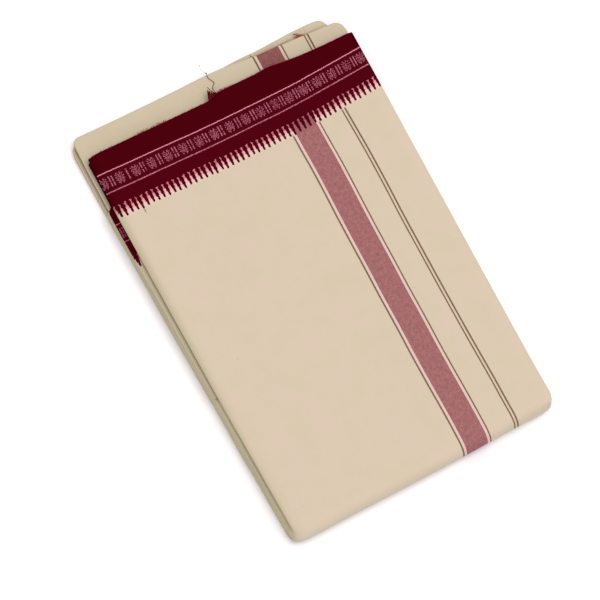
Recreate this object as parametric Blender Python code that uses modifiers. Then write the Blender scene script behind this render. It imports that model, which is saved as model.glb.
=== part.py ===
"""A dhoti cloth, folded into a flat packet and lying on a surface.

The cloth is one unstitched woven length, 3.36 m by 1.27 m. It is folded end to end into 16 panels, each
0.21 m wide, and then across into leaves about 0.32 m long. Each object is one stretch of the cloth that
shows, as a thin wall, and hidden_layers is every ply between them, with layered edges.

Packet coordinates, in metres: x runs to the right from the top leaf's near left corner, y runs from the
near fold to the far end, z is up from the surface. The finished objects are moved so that the origin is at
the middle of the packet's footprint.
"""

import math

import bmesh
import bpy
import numpy as np

MM = 0.001

# Driving dimensions.
HEIGHT = 22.0 * MM  # the whole packet
LEAF_WALL = 1.4 * MM  # the top leaf and the second leaf
FOLD_WALL = 2.2 * MM  # the two leaves that fold back at the far end, a few plies thick
GAP = 0.3 * MM  # between neighbouring leaves
SELVEDGE_Y = 319.0 * MM  # the top leaf's length, near its two corners
SECOND_SELVEDGE_Y = 280.6 * MM
NEAR_CORNERS = (2.5 * MM, 7.0 * MM)  # rounding of the near fold's ends in plan, left and right
FOLD_SQUARENESS = 0.62  # the near fold's upper half, from 1 for a half circle towards 0 for a square edge
EDGE_ROUND = 9.0 * MM  # width of the strip that turns down along each side of the top leaf
EDGE_DROP = 2.4 * MM  # how far it turns down
END_SAG_START = 255.0 * MM  # from here to the selvedge the top leaf sinks, as the second leaf ends below it
END_SAG_SIDE = 1.6 * MM
END_SAG_MIDDLE = 4.2 * MM
INNER_TOP = 10.7 * MM  # top of the leaf that shows beyond the selvedge
INNER_FOLD_RADIUS = 2.575 * MM
LOWER_FOLD_RADIUS = 2.625 * MM
SECOND_TOP = 16.3 * MM
SECOND_END_Y = 120.0 * MM  # the second leaf goes on from here inside the hidden layers
SECOND_INNER_X = 11.0 * MM

MIDDLE = HEIGHT / 2  # the layers lie above and below this level, and turn round it at the near fold

# The packet's sides, in mm: x of the edge at each station y, from the top leaf down to the bottom one.
EDGE_COLUMNS = ("y", "top", "above", "below", "middle", "lower", "bottom")
# How high each of those edges lies, from 1 at the top leaf through 0 at the middle to -1 at the bottom.
EDGE_LEVELS = {"top": 1.0, "above": 0.53, "below": 0.47, "middle": 0.0, "lower": -0.5, "bottom": -1.0}
LEFT_EDGE = (
    (-3, 1.2, 1.3, 0.4, 0.1, -0.3, -0.4),
    (38, 0.7, 0.8, -0.4, -0.7, -1.2, -1.3),
    (112, -0.4, -0.3, -1.9, -2.3, -3.0, -3.2),
    (186, -0.8, -0.6, -2.8, -3.1, -3.8, -3.9),
    (240, -1.0, -0.6, -3.5, -3.4, -4.2, -4.3),
    (278, -1.0, -0.5, -4.0, -3.7, -4.7, -4.8),
    (284, -0.6, -0.4, -0.9, -1.1, -4.4, -4.6),
    (319, 0.0, -0.2, -0.6, -0.9, -4.0, -4.2),
)
RIGHT_EDGE = (
    (-3, 210.5, 209.9, 209.2, 209.3, 208.6, 208.9),
    (38, 209.4, 208.8, 207.9, 208.4, 207.7, 208.3),
    (112, 209.1, 208.6, 208.5, 207.6, 208.4, 208.0),
    (186, 209.0, 208.6, 207.7, 208.2, 207.6, 208.5),
    (240, 209.0, 208.7, 208.0, 208.3, 208.4, 208.0),
    (278, 209.2, 208.7, 207.8, 208.1, 207.9, 207.7),
    (284, 209.2, 208.8, 208.0, 207.6, 207.9, 207.7),
    (319, 209.2, 208.8, 208.3, 207.9, 207.8, 207.6),
)

# The near fold's outermost line, in mm.
NEAR_COLUMNS = ("x", "y")
NEAR_FOLD = (
    (-3, 0.2),
    (2, -0.2),
    (5, -1.1),
    (10, -1.5),
    (20, -1.5),
    (40, -0.5),
    (80, 0.9),
    (120, 2.6),
    (160, 4.6),
    (195, 7.1),
    (209, 8.9),
)

# The top leaf's selvedge, in mm. Right of the middle a lower ply of that leaf reaches past the uppermost one.
SELVEDGE_COLUMNS = ("x", "y")
SELVEDGE = (
    (-3, 318.8),
    (12, 319.6),
    (50, 319.9),
    (91, 320.1),
    (101, 322.8),
    (128, 322.9),
    (146, 323.2),
    (160, 321.7),
    (180, 320.5),
    (209, 318.5),
)

# The two leaves that fold back at the far end, in mm: their sides at each station y.
FOLD_SIDE_COLUMNS = ("y", "inner_left", "inner_right", "lower_left", "lower_right")
FOLD_SIDES = (
    (281, -2.9, 208.2, -4.7, 207.4),
    (300, -2.9, 208.0, -4.4, 205.6),
    (325, -2.7, 207.8, -4.6, 201.6),
    (345, -2.0, 207.9, -4.0, 199.0),
)
# Their far folds, in mm: the outermost y at each x.
FAR_COLUMNS = ("x", "inner", "lower")
FAR_FOLDS = (
    (-8, 340.8, 339.9),
    (40, 340.3, 339.4),
    (80, 340.4, 339.2),
    (104, 341.0, 339.8),
    (128, 340.6, 340.6),
    (143, 338.9, 342.6),
    (160, 338.3, 343.4),
    (180, 337.3, 343.9),
    (194, 336.4, 343.7),
    (209, 335.6, 342.8),
)
INNER_CORNERS = (7.0 * MM, 8.0 * MM)  # plan rounding of each far fold, left and right
LOWER_CORNERS = (9.0 * MM, 9.0 * MM)

# The second leaf's left side, in mm.
SECOND_COLUMNS = ("y", "left")
SECOND_SIDE = ((120, -2.4), (160, -3.3), (200, -4.0), (235, -4.5), (262, -4.7), (281, -4.5))
SECOND_CORNER = 4.0 * MM

# How far each layer of the hidden stack stands out of its sides, in mm, from the middle outwards.
LAYER_STEPS = (0.15, 0.55, 0.0, 0.4, 0.2)
LAYER_GROOVE = 0.7 * MM
LAYER_ROWS = 3  # steps across one layer's rounded edge
EDGE_CLEARANCE = 0.5 * MM  # more room for the top leaf's wall where it leans over its sides
CORNER_CLEARANCE = 2.2 * MM  # and at the near fold's rounded ends

CREAM = (0.72, 0.60, 0.44)
MAROON = (0.09, 0.002, 0.008)
BORDER_WIDTH = 37.6 * MM


def gentle_slopes(at, values):
    """Slopes for a smooth curve through these values that never swings past them."""
    steps = np.diff(values) / np.diff(at)
    before = np.concatenate([steps[:1], steps])
    after = np.concatenate([steps, steps[-1:]])
    limit = 3 * np.minimum(abs(before), abs(after))
    return np.where(before * after > 0, np.clip((before + after) / 2, -limit, limit), 0.0)


def smooth_between(rows, columns, column, position):
    """A smooth curve through one column of a table, as a function of its first column, all in metres."""
    at = [row[0] * MM for row in rows]
    values = [row[columns.index(column)] * MM for row in rows]
    slopes = gentle_slopes(at, values)
    position = min(max(position, at[0]), at[-1])
    i = min(int(np.searchsorted(at, position, side="right")) - 1, len(at) - 2)
    span = at[i + 1] - at[i]
    t = (position - at[i]) / span
    return (
        (1 + 2 * t) * (1 - t) ** 2 * values[i]
        + t * (1 - t) ** 2 * span * slopes[i]
        + t * t * (3 - 2 * t) * values[i + 1]
        + t * t * (t - 1) * span * slopes[i + 1]
    )


def ramp(value, low, high):
    """0 below low, 1 above high, and a smooth step between."""
    t = min(max((value - low) / (high - low), 0.0), 1.0)
    return t * t * (3 - 2 * t)


def side_at(rows, y, level):
    """x of the packet's side at this y, level being 1 at the top leaf and -1 at the bottom one."""
    names = EDGE_COLUMNS[1:]
    levels = [EDGE_LEVELS[name] for name in names]
    across = [smooth_between(rows, EDGE_COLUMNS, name, y) for name in names]
    return float(np.interp(level, levels[::-1], across[::-1]))


def from_edges(u, width):
    """Distances from the left and the right edge of a leaf, u being 0 at its left and 1 at its right."""
    return u * width, (1 - u) * width


def corner_inset(distance, radius):
    """How far a quarter circle of this radius lies inside its corner, at a distance from the side."""
    if distance >= radius:
        return 0.0
    return radius - math.sqrt(radius**2 - (radius - distance) ** 2)


PANEL_LEFT = side_at(LEFT_EDGE, SELVEDGE_Y, 1.0)
PANEL_WIDTH = side_at(RIGHT_EDGE, SELVEDGE_Y, 1.0) - PANEL_LEFT


def selvedge_y(u):
    return smooth_between(SELVEDGE, SELVEDGE_COLUMNS, "y", PANEL_LEFT + PANEL_WIDTH * u)


def near_fold_centre(u):
    """y of the line round which the near fold turns."""
    outermost = smooth_between(NEAR_FOLD, NEAR_COLUMNS, "y", PANEL_LEFT + PANEL_WIDTH * u)
    inset = sum(map(corner_inset, from_edges(u, PANEL_WIDTH), NEAR_CORNERS))
    return outermost + inset + MIDDLE


def fold_profile(turn):
    """How far out and how far up the near fold's surface lies at this turn, in parts of its radius."""
    power = FOLD_SQUARENESS if turn < math.pi / 2 else 1.0
    return math.sin(turn) ** power, math.copysign(abs(math.cos(turn)) ** power, math.cos(turn))


def top_drop(u, y):
    """How far the top leaf lies below the packet's height: down along its sides, and sunk at its end."""
    sides = sum(max(0.0, 1 - distance / EDGE_ROUND) ** 2.4 for distance in from_edges(u, PANEL_WIDTH))
    sag = END_SAG_SIDE + (END_SAG_MIDDLE - END_SAG_SIDE) * math.sin(math.pi * u)
    return EDGE_DROP * sides + sag * ramp(y, END_SAG_START, SELVEDGE_Y)


def spread(count, ease=1.0):
    """count + 1 values from 0 to 1, closer together at both ends."""
    values = np.linspace(0, 1, count + 1)
    return (1 - ease) * values + ease * (1 - np.cos(math.pi * values)) / 2


ACROSS = spread(20, 0.95)
NEAR_ARC = np.linspace(0, math.pi, 13)
FAR_ACROSS = spread(22, 0.9)
FAR_STRAIGHT = spread(5, 0.6)
FAR_ARC = np.linspace(0, math.pi, 9)


def wrap_point(u, end, along, level):
    """A point of the layers that lie above and below the middle and turn round the near fold.

    end is the y at which this stretch starts or ends. along runs from 0 to 1 on the top, 1 to 2 round the
    fold and 2 to 3 underneath. level is 1 on the outside of the top leaf and 0 at the middle.
    """
    centre = near_fold_centre(u)
    if along <= 1:
        y = end + (centre - end) * along
        z = MIDDLE + level * (MIDDLE - top_drop(u, y))
        signed = level
    elif along < 2:
        turn = math.pi * (along - 1)
        out, up = fold_profile(turn)
        radius = level * (MIDDLE - top_drop(u, centre) * (1 + up) / 2)
        y = centre - radius * out
        z = MIDDLE + radius * up
        signed = level * up
    else:
        y = centre + (end - centre) * (along - 2)
        z = MIDDLE * (1 - level)
        signed = -level
    left = side_at(LEFT_EDGE, y, signed)
    right = side_at(RIGHT_EDGE, y, signed)
    return left + (right - left) * u, y, z


def add_patch(mesh, points):
    """Adds a rectangular net of points, rows of equal length, as quads."""
    rows = [[mesh.verts.new(point) for point in row] for row in points]
    for first, second in zip(rows, rows[1:]):
        for a, b, c, d in zip(first, first[1:], second[1:], second):
            mesh.faces.new((a, b, c, d))


def finish_mesh(name, mesh):
    """An object of its own from this bmesh, with coincident points joined and faces turned outwards."""
    bmesh.ops.remove_doubles(mesh, verts=mesh.verts, dist=1e-6)
    degenerate = [face for face in mesh.faces if face.calc_area() < 1e-12]
    bmesh.ops.delete(mesh, geom=degenerate, context="FACES")
    bmesh.ops.recalc_face_normals(mesh, faces=mesh.faces)
    data = bpy.data.meshes.new(name)
    mesh.to_mesh(data)
    mesh.free()
    data.shade_smooth()
    item = bpy.data.objects.new(name, data)
    PACKET.objects.link(item)
    return item


def thicken(item, wall, upwards_face):
    """Gives an open surface a wall behind it. upwards_face says which way its first face should look."""
    normal = item.data.polygons[0].normal
    if normal.z * upwards_face < 0:
        item.data.flip_normals()
    solidify = item.modifiers.new("wall", "SOLIDIFY")
    solidify.thickness = wall
    solidify.offset = -1
    solidify.use_even_offset = False


def material(name, colour):
    made = bpy.data.materials.new(name)
    made.use_nodes = True
    shader = made.node_tree.nodes["Principled BSDF"]
    shader.inputs["Base Color"].default_value = (*colour, 1)
    shader.inputs["Roughness"].default_value = 0.85
    shader.inputs["Metallic"].default_value = 0.0
    return made


def colour_border(item, base, border, selvedge):
    """The body in the base material, and the stretch beside the selvedge in the border's."""
    item.data.materials.append(base)
    item.data.materials.append(border)
    for face in item.data.polygons:
        from_selvedge = selvedge - face.center.y
        face.material_index = int(from_selvedge < BORDER_WIDTH and face.center.z > MIDDLE)


def make_front_leaf():
    """The top leaf from its selvedge to the near fold, round it, and on underneath as the resting face."""
    along = np.concatenate([spread(14, 0.8), 1 + NEAR_ARC[1:-1] / math.pi, 2 + spread(7, 0.6)])
    points = []
    for step in along:
        row = []
        for u in ACROSS:
            end = selvedge_y(u) if step <= 1 else SECOND_SELVEDGE_Y - GAP
            row.append(wrap_point(u, end, step, 1.0))
        points.append(row)
    mesh = bmesh.new()
    add_patch(mesh, points)
    leaf = finish_mesh("front_leaf", mesh)
    thicken(leaf, LEAF_WALL, 1)
    return leaf


def make_second_leaf(name, margin):
    """The leaf under the top one, where its left side stands out. margin grows it on all sides."""
    stations = spread(16, 0.7)
    across = spread(5, 0.5)
    points = []
    for step in stations:
        y = SECOND_END_Y + (SECOND_SELVEDGE_Y - SECOND_END_Y) * step
        left = smooth_between(SECOND_SIDE, SECOND_COLUMNS, "left", y)
        left += corner_inset(SECOND_SELVEDGE_Y - y, SECOND_CORNER)
        stretched = y + margin * (2 * step - 1)
        row = []
        for u in across:
            x = left - margin + (SECOND_INNER_X - left + 2 * margin) * u
            row.append((x, stretched, SECOND_TOP + margin))
        points.append(row)
    mesh = bmesh.new()
    add_patch(mesh, points)
    leaf = finish_mesh(name, mesh)
    thicken(leaf, LEAF_WALL + 2 * margin, 1)
    return leaf


def add_wall(mesh, outer, inner):
    """A closed wall between two nets of points of one shape."""
    add_patch(mesh, outer)
    add_patch(mesh, inner)
    for end in (0, -1):
        add_patch(mesh, (outer[end], inner[end]))
        add_patch(mesh, ([row[end] for row in outer], [row[end] for row in inner]))


def far_fold_path(outermost, top, radius, inset):
    """(y, z) along a leaf that runs out, turns round and comes back, as seen from its side."""
    start = SECOND_SELVEDGE_Y + GAP
    centre = outermost - radius
    middle = top - radius
    reach = radius - inset
    path = [(start + (centre - start) * step, middle + reach) for step in FAR_STRAIGHT]
    path += [(centre + reach * math.sin(turn), middle + reach * math.cos(turn)) for turn in FAR_ARC[1:-1]]
    path += [(centre + (start - centre) * step, middle - reach) for step in FAR_STRAIGHT]
    return path


def make_far_fold(name, column, top, radius, corners):
    """A leaf that comes out from under the top one, turns round at the far end and goes back below."""
    far_y = FAR_FOLDS[0][1] * MM
    far_left = smooth_between(FOLD_SIDES, FOLD_SIDE_COLUMNS, column + "_left", far_y)
    far_right = smooth_between(FOLD_SIDES, FOLD_SIDE_COLUMNS, column + "_right", far_y)
    width = far_right - far_left
    nets = []
    for inset in (0.0, FOLD_WALL):
        columns = []
        for u in FAR_ACROSS:
            outermost = smooth_between(FAR_FOLDS, FAR_COLUMNS, column, far_left + width * u)
            outermost -= sum(map(corner_inset, from_edges(u, width), corners))
            points = []
            for y, z in far_fold_path(outermost, top, radius, inset):
                left = smooth_between(FOLD_SIDES, FOLD_SIDE_COLUMNS, column + "_left", y)
                right = smooth_between(FOLD_SIDES, FOLD_SIDE_COLUMNS, column + "_right", y)
                points.append((left + (right - left) * u, y, z))
            columns.append(points)
        nets.append(columns)
    mesh = bmesh.new()
    add_wall(mesh, *nets)
    return finish_mesh(name, mesh)


def layer_edge(part):
    """How far a hidden layer's rounded edge stands out, part being 0 at the middle and 1 at the outside."""
    layer = min(int(part * len(LAYER_STEPS)), len(LAYER_STEPS) - 1)
    within = part * len(LAYER_STEPS) - layer
    return LAYER_STEPS[layer] * MM * math.sin(math.pi * within) - LAYER_GROOVE * (1 - math.sin(math.pi * within))


def leaf_clearance(u, at_fold):
    """How far the hidden layers stay inside the top leaf's outer face, more where that face leans over."""
    clearance = LEAF_WALL + GAP
    for distance, corner in zip(from_edges(u, PANEL_WIDTH), NEAR_CORNERS):
        clearance += EDGE_CLEARANCE * max(0.0, 1 - distance / EDGE_ROUND)
        if at_fold:
            clearance += CORNER_CLEARANCE * max(0.0, 1 - distance / corner)
    return clearance


def make_hidden_layers():
    """Every ply between the leaves, as one solid: rounded at the near fold and layered along its edges."""
    rows = np.linspace(0, 1, len(LAYER_STEPS) * LAYER_ROWS + 1)
    top_end = SELVEDGE_Y - 1.6 * MM
    low_end = SECOND_SELVEDGE_Y
    beyond = (top_end, 306 * MM, 294 * MM, 286 * MM)
    shared = np.linspace(low_end, 30 * MM, 13)
    across = spread(14, 0.97)

    def hidden_point(u, part, y_or_turn, where):
        """where is top, turn or under. The walls of the top leaf lie outside part 1."""
        centre = near_fold_centre(u)
        if where == "turn":
            out, up = fold_profile(y_or_turn)
            reach = MIDDLE - top_drop(u, centre) * (1 + up) / 2 - leaf_clearance(u, True)
            y = centre - part * reach * out
            z = MIDDLE + part * reach * up
            level = part * up
        elif where == "top":
            y = min(y_or_turn, selvedge_y(u) - 1.6 * MM) if y_or_turn > low_end + MM else y_or_turn
            z = MIDDLE + part * (MIDDLE - top_drop(u, y) - leaf_clearance(u, False))
            level = part
        else:
            y = y_or_turn
            z = MIDDLE - part * (MIDDLE - LEAF_WALL - GAP)
            level = -part
        out = layer_edge(part)
        left = side_at(LEFT_EDGE, y, level) - out
        right = side_at(RIGHT_EDGE, y, level) + out
        return left + (right - left) * u, y, z

    route = [(y, "top") for y in (*beyond, *shared)]
    route += [(turn, "turn") for turn in NEAR_ARC]
    route += [(y, "under") for y in shared[::-1]]
    mesh = bmesh.new()
    for u in (0.0, 1.0):
        add_patch(mesh, [[hidden_point(u, part, *stop) for part in rows] for stop in route])
    add_patch(mesh, [[hidden_point(u, 1.0, *stop) for u in across] for stop in route])
    for stop in (route[0], route[-1]):
        outline = [(0.0, part) for part in rows] + [(u, 1.0) for u in across[1:]]
        outline += [(1.0, part) for part in rows[-2::-1]] + [(u, 0.0) for u in across[-2:0:-1]]
        mesh.faces.new([mesh.verts.new(hidden_point(u, part, *stop)) for u, part in outline])
    add_patch(mesh, [[hidden_point(u, 0.0, *stop) for u in across] for stop in route[: len(beyond) + 1]])
    return finish_mesh("hidden_layers", mesh)


def cut_slot(item, cutter):
    """Makes room in the hidden layers for the second leaf."""
    slot = item.modifiers.new("slot", "BOOLEAN")
    slot.operation = "DIFFERENCE"
    slot.object = cutter
    cutter.hide_render = True
    cutter.display_type = "WIRE"
    PACKET.objects.unlink(cutter)
    CUTTERS.objects.link(cutter)


def move_to_origin(items):
    """Puts the middle of the packet's footprint at the origin."""
    points = np.array([point.co for item in items for point in item.data.vertices])
    low, high = points.min(axis=0), points.max(axis=0)
    for item in (*PACKET.objects, *CUTTERS.objects):
        item.location = (-(low[0] + high[0]) / 2, -(low[1] + high[1]) / 2, 0)


for startup_object in list(bpy.data.objects):
    bpy.data.objects.remove(startup_object)
PACKET = bpy.data.collections.new("dhoti_cloth")
CUTTERS = bpy.data.collections.new("cutters")
bpy.context.scene.collection.children.link(PACKET)
bpy.context.scene.collection.children.link(CUTTERS)

cream = material("cream_cotton", CREAM)
maroon = material("maroon_border", MAROON)

front_leaf = make_front_leaf()
second_leaf = make_second_leaf("second_leaf", 0.0)
inner_leaf = make_far_fold("inner_leaf", "inner", INNER_TOP, INNER_FOLD_RADIUS, INNER_CORNERS)
lower_leaf = make_far_fold("lower_leaf", "lower", 2 * LOWER_FOLD_RADIUS, LOWER_FOLD_RADIUS, LOWER_CORNERS)
hidden_layers = make_hidden_layers()
cut_slot(hidden_layers, make_second_leaf("second_leaf_room", GAP))

colour_border(front_leaf, cream, maroon, SELVEDGE_Y)
colour_border(second_leaf, cream, maroon, SECOND_SELVEDGE_Y)
for plain in (inner_leaf, lower_leaf, hidden_layers):
    plain.data.materials.append(cream)
move_to_origin((front_leaf, second_leaf, inner_leaf, lower_leaf, hidden_layers))
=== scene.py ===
"""Looks of a folded dhoti cloth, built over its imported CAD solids.

Packet coordinates: x runs to the right from the top leaf's near left corner, y runs from the near fold to
the far end, z is up, all in mm. A mesh is scaled to metres and moved by SHIFT, into the frame, when it is
made. The cloth's own coordinates, also in mm, are across the cloth (x), from the selvedge inwards (t) and
in spikes of the border (j). Every cloth surface carries them in its "cloth" attribute, for its material.
"""

import math

import bmesh
import bpy
import numpy as np
from mathutils import Euler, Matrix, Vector


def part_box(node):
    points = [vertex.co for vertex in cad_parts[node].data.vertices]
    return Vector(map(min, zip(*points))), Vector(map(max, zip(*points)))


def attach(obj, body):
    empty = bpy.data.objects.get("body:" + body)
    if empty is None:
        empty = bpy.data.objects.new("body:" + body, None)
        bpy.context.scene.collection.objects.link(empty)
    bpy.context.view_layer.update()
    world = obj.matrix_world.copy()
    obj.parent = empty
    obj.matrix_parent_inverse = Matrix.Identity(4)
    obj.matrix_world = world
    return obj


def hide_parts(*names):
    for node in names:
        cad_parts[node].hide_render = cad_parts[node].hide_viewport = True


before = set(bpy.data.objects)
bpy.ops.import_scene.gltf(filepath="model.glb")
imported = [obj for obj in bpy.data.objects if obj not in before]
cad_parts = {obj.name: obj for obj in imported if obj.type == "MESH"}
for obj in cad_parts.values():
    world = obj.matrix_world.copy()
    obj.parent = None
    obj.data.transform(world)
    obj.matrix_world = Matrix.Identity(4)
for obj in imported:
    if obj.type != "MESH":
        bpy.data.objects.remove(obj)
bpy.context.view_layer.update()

MM = 0.001

# Driving dimensions, from the CAD source. The near fold's corners and profile are set finer here.
HEIGHT = 22.0
MIDDLE = HEIGHT / 2
LEAF_WALL = 1.4
FOLD_WALL = 2.2  # of the two leaves that fold back at the far end
GAP = 0.3
SELVEDGE_Y = 319.0
SECOND_SELVEDGE_Y = 280.6
NEAR_CORNERS = (2.5, 2.2)
# The near fold's profile above and below its middle, along it and at its right corner: 1 round, 0 square.
UPPER_ROUNDNESS = (0.72, 0.42)
LOWER_ROUNDNESS = (1.0, 0.7)
RIGHT_CORNER_U = (0.88, 0.97)  # where the one becomes the other, in shares of the width
EDGE_ROUND = 9.0
EDGE_DROP = 2.4
EDGE_POWER = 2.4  # how late the top leaf begins to fall towards its sides
EDGE_FLAT = (1.0, 14.0)  # how far from its sides the top leaf's soft relief begins and is full
END_SAG_START = 255.0
END_SAG_SIDE = 1.6
END_SAG_MIDDLE = 4.2
INNER_TOP = 10.7
INNER_FOLD_RADIUS = 2.575
INNER_CORNERS = (5.0, 6.5)
LOWER_FOLD_RADIUS = 2.625
LOWER_CORNERS = (8.0, 4.7)
SECOND_TOP = 16.3
SECOND_END_Y = 120.0
SECOND_INNER_X = 11.0
SECOND_CORNER = 4.0
SECOND_EDGE_ROUND = 2.6
SECOND_EDGE_DROP = 0.45
EDGE_CLEARANCE = 0.5
CORNER_CLEARANCE = 2.2

# The packet's sides: y, then x at each of these levels, from the top leaf (1) to the bottom one (-1).
EDGE_LEVELS = (1.0, 0.53, 0.47, 0.0, -0.5, -1.0)
LEFT_EDGE = (
    (-3, 1.2, 1.3, 0.4, 0.1, -0.3, -0.4),
    (38, 0.7, 0.8, -0.4, -0.7, -1.0, -1.1),
    (60, 0.4, 0.5, -0.8, -1.0, -1.3, -1.4),
    (80, 0.1, 0.2, -1.3, -1.6, -2.1, -2.2),
    (112, -0.4, -0.3, -1.9, -2.0, -2.2, -2.3),
    (150, -0.6, -0.4, -2.4, -2.7, -3.1, -3.2),
    (186, -0.8, -0.6, -2.8, -3.1, -3.8, -3.9),
    (240, -1.0, -0.6, -3.5, -3.4, -4.2, -4.3),
    (278, -1.0, -0.5, -4.0, -3.7, -4.7, -4.8),
    (284, -0.6, -0.4, -0.9, -1.1, -4.4, -4.6),
    (319, 0.0, -0.2, -0.6, -0.9, -4.0, -4.2),
)
RIGHT_EDGE = (
    (-3, 210.5, 209.9, 209.2, 209.3, 208.6, 208.9),
    (38, 209.4, 208.8, 207.9, 208.4, 207.7, 208.3),
    (112, 209.1, 208.6, 208.5, 207.6, 208.4, 208.0),
    (186, 209.0, 208.6, 207.7, 208.2, 207.6, 208.5),
    (240, 209.0, 208.7, 208.0, 208.3, 208.4, 208.0),
    (278, 209.2, 208.7, 207.8, 208.1, 207.9, 207.7),
    (284, 209.2, 208.8, 208.0, 207.6, 207.9, 207.7),
    (319, 209.2, 208.8, 208.3, 207.9, 207.8, 207.6),
)
# How far towards the viewer the near fold reaches: x and y.
NEAR_FOLD = (
    (-3, 0.9), (2, 0.5), (5, -0.3), (10, -0.7), (20, -0.6), (40, 0.4), (80, 1.8), (120, 3.3), (160, 5.5),
    (180, 6.7), (195, 7.5), (209, 9.2),
)
# The top leaf's selvedge steps out where a lower ply of it reaches past the uppermost one.
SELVEDGE = (
    (-3, 319.3), (2, 319.7), (11, 320.1), (22, 320.1), (96.9, 320.0), (97.7, 322.6), (103, 322.9),
    (137, 323.0), (142, 323.6), (147, 323.4), (152, 322.6), (166, 321.1), (185, 320.2), (196, 320.0),
    (204, 320.1), (209, 320.0),
)
STEP_COLUMNS = (96.7, 96.9, 97.1, 97.3, 97.5, 97.7, 97.9)  # x of more net columns there
# The far folds' sides: y, the inner leaf's left and right, the lower leaf's left and right.
FOLD_SIDES = (
    (281, -2.9, 208.2, -4.9, 207.4), (300, -2.9, 208.0, -5.0, 205.2), (325, -2.7, 207.8, -5.1, 200.4),
    (345, -2.0, 207.6, -4.2, 196.8),
)
# How far out the far folds reach: x, the inner leaf, the lower leaf.
FAR_FOLDS = (
    (-8, 340.8, 339.9), (40, 340.2, 339.4), (80, 340.4, 339.2), (104, 340.9, 340.9), (120, 340.4, 342.4),
    (128, 339.7, 342.8), (136, 338.8, 343.0), (143, 338.0, 342.8), (160, 337.3, 343.5), (176, 336.5, 344.2),
    (184, 336.0, 344.2), (194, 335.6, 343.7), (209, 334.6, 343.0),
)
INNER, LOWER = 1, 2  # the two leaves' columns in FAR_FOLDS
# How dark the painted shade in the crevice beside the inner leaf's fold is on the lower leaf, from x on.
CREVICE_SHADE_DEPTH = ((100, 0.0), (122, 0.3), (148, 0.45), (156, 1.0), (173, 1.0), (183, 0.5), (209, 0.4))
# The left side of the second leaf's strip: y and x.
SECOND_SIDE = ((120, -2.4), (160, -3.3), (200, -4.0), (235, -4.5), (262, -4.7), (281, -4.5))

# The border, in mm: t of its two pink lines, of the rosettes' centres and of the spikes.
LINE_1_T = 13.0
LINE_2_T = 27.8
FIGURE_T = 20.5
BORDER_LENGTH = 40.0  # how far past its upper line the border's own stretch holds
BORDER_END = 50.0  # and where its colours end
SPIKE_PITCH = 4.2
SPIKE_CENTRE = 0.56  # where a spike stands in its pitch
SECOND_SPIKE = 60  # number of a spike on the second leaf
SECOND_SPIKE_X = -4.65  # and x where the gap before it begins
# Half a spike's width, in parts of the pitch, from each t on.
SPIKE_STEPS = (
    (0.0, 0.60), (38.3, 0.31), (39.1, 0.40), (41.5, 0.295), (44.7, 0.20), (47.2, 0.15), (47.9, 0.0),
)
# Where the upper pink line runs on the top leaf, and how t stretches along the leaf, from x.
LINE_1 = (
    (0, 305.1, 0.975), (3, 304.75, 0.975), (6, 304.5, 0.975), (10, 304.35, 0.975), (25, 304.0, 0.98),
    (40, 303.9, 0.98), (60, 303.55, 0.985), (80, 303.15, 0.99), (100, 303.1, 0.995), (120, 303.25, 1.0),
    (136, 303.35, 1.0), (160, 303.8, 1.03), (170, 304.45, 1.03), (180, 304.9, 1.04), (190, 305.5, 1.045),
    (198, 306.0, 1.045), (204, 306.4, 1.05), (209, 307.2, 1.05),
)

# How far the body's stripes wander sideways along the top leaf: y, the mauve band, the pair of lines.
STRIPE_DRIFT = (
    (8, -0.50, 0.85), (15, -0.46, 0.72), (25, -0.34, 0.57), (40, -0.46, 0.54), (60, -0.78, 0.22),
    (80, -0.88, -0.12), (110, -0.63, -0.38), (132, -0.74, -0.48), (150, -0.50, -0.48), (180, -0.37, -0.44),
    (200, -0.18, -0.10), (220, 0.21, 0.11), (240, 0.40, 0.00), (255, 0.14, -0.34), (275, 0.15, -0.67),
)
DRIFT_CHANGE = (146, 178)  # x between which the one gives way to the other
# And on the two leaves that fold back at the far end: x and how far the stripes are shifted there.
INNER_DRIFT = ((139, 3.65), (161, 4.0), (180, 3.0))
LOWER_DRIFT = ((139, 3.3), (161, 3.3))

# The camera of the photograph, which looks down at the packet with no perspective.
IMAGE_SIDE = 600
PIXELS_PER_MM = 1.424
CAMERA_AZIMUTH = math.radians(-27.135)
CAMERA_ELEVATION = math.radians(69.72)
CAMERA_MARK = Vector((100.3, 170.9, 0.0)) * MM  # a packet point
MARK_PIXEL = (311.09, 284.20)  # and where it lies in the photograph
CAMERA_DISTANCE = 1.2
CAMERA_CLEAR = 0.05  # its nearest clip

SURROUND = 0.95  # brightness of the surround
SURROUND_COLOUR = (1.0, 0.995, 1.0, 1)
SOFTBOX = 1.5  # the soft light's strength
SOFTBOX_WIDTH = math.radians(34)
SOFTBOX_FROM = (0.22, -0.20, 1.0)
LIGHT_LEVEL = 1.39  # how bright a white surface that looks up is under this light
FLOOR_REACH = 2.0
FLOOR_Z = -0.05 * MM

SECOND_POINT = np.array((SECOND_INNER_X, SECOND_SELVEDGE_Y, SECOND_TOP))  # its inner upper corner
SHIFT = np.array(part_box("second_leaf")[1]) - SECOND_POINT * MM


# ---- camera and light


def placed(name, data):
    """A new object in the scene."""
    made = bpy.data.objects.new(name, data)
    bpy.context.scene.collection.objects.link(made)
    return made


def add_camera():
    turned = Euler((math.pi / 2 - CAMERA_ELEVATION, 0.0, CAMERA_AZIMUTH))
    scale = MM / PIXELS_PER_MM
    middle = IMAGE_SIDE / 2
    from_mark = Vector(((middle - MARK_PIXEL[0]) * scale, (MARK_PIXEL[1] - middle) * scale, CAMERA_DISTANCE))
    data = bpy.data.cameras.new("camera")
    data.type = "ORTHO"
    data.ortho_scale = IMAGE_SIDE * scale
    data.clip_start = CAMERA_CLEAR
    camera = placed("camera", data)
    camera.rotation_euler = turned
    camera.location = CAMERA_MARK + Vector(SHIFT) + turned.to_matrix() @ from_mark
    bpy.context.scene.camera = camera


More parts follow.
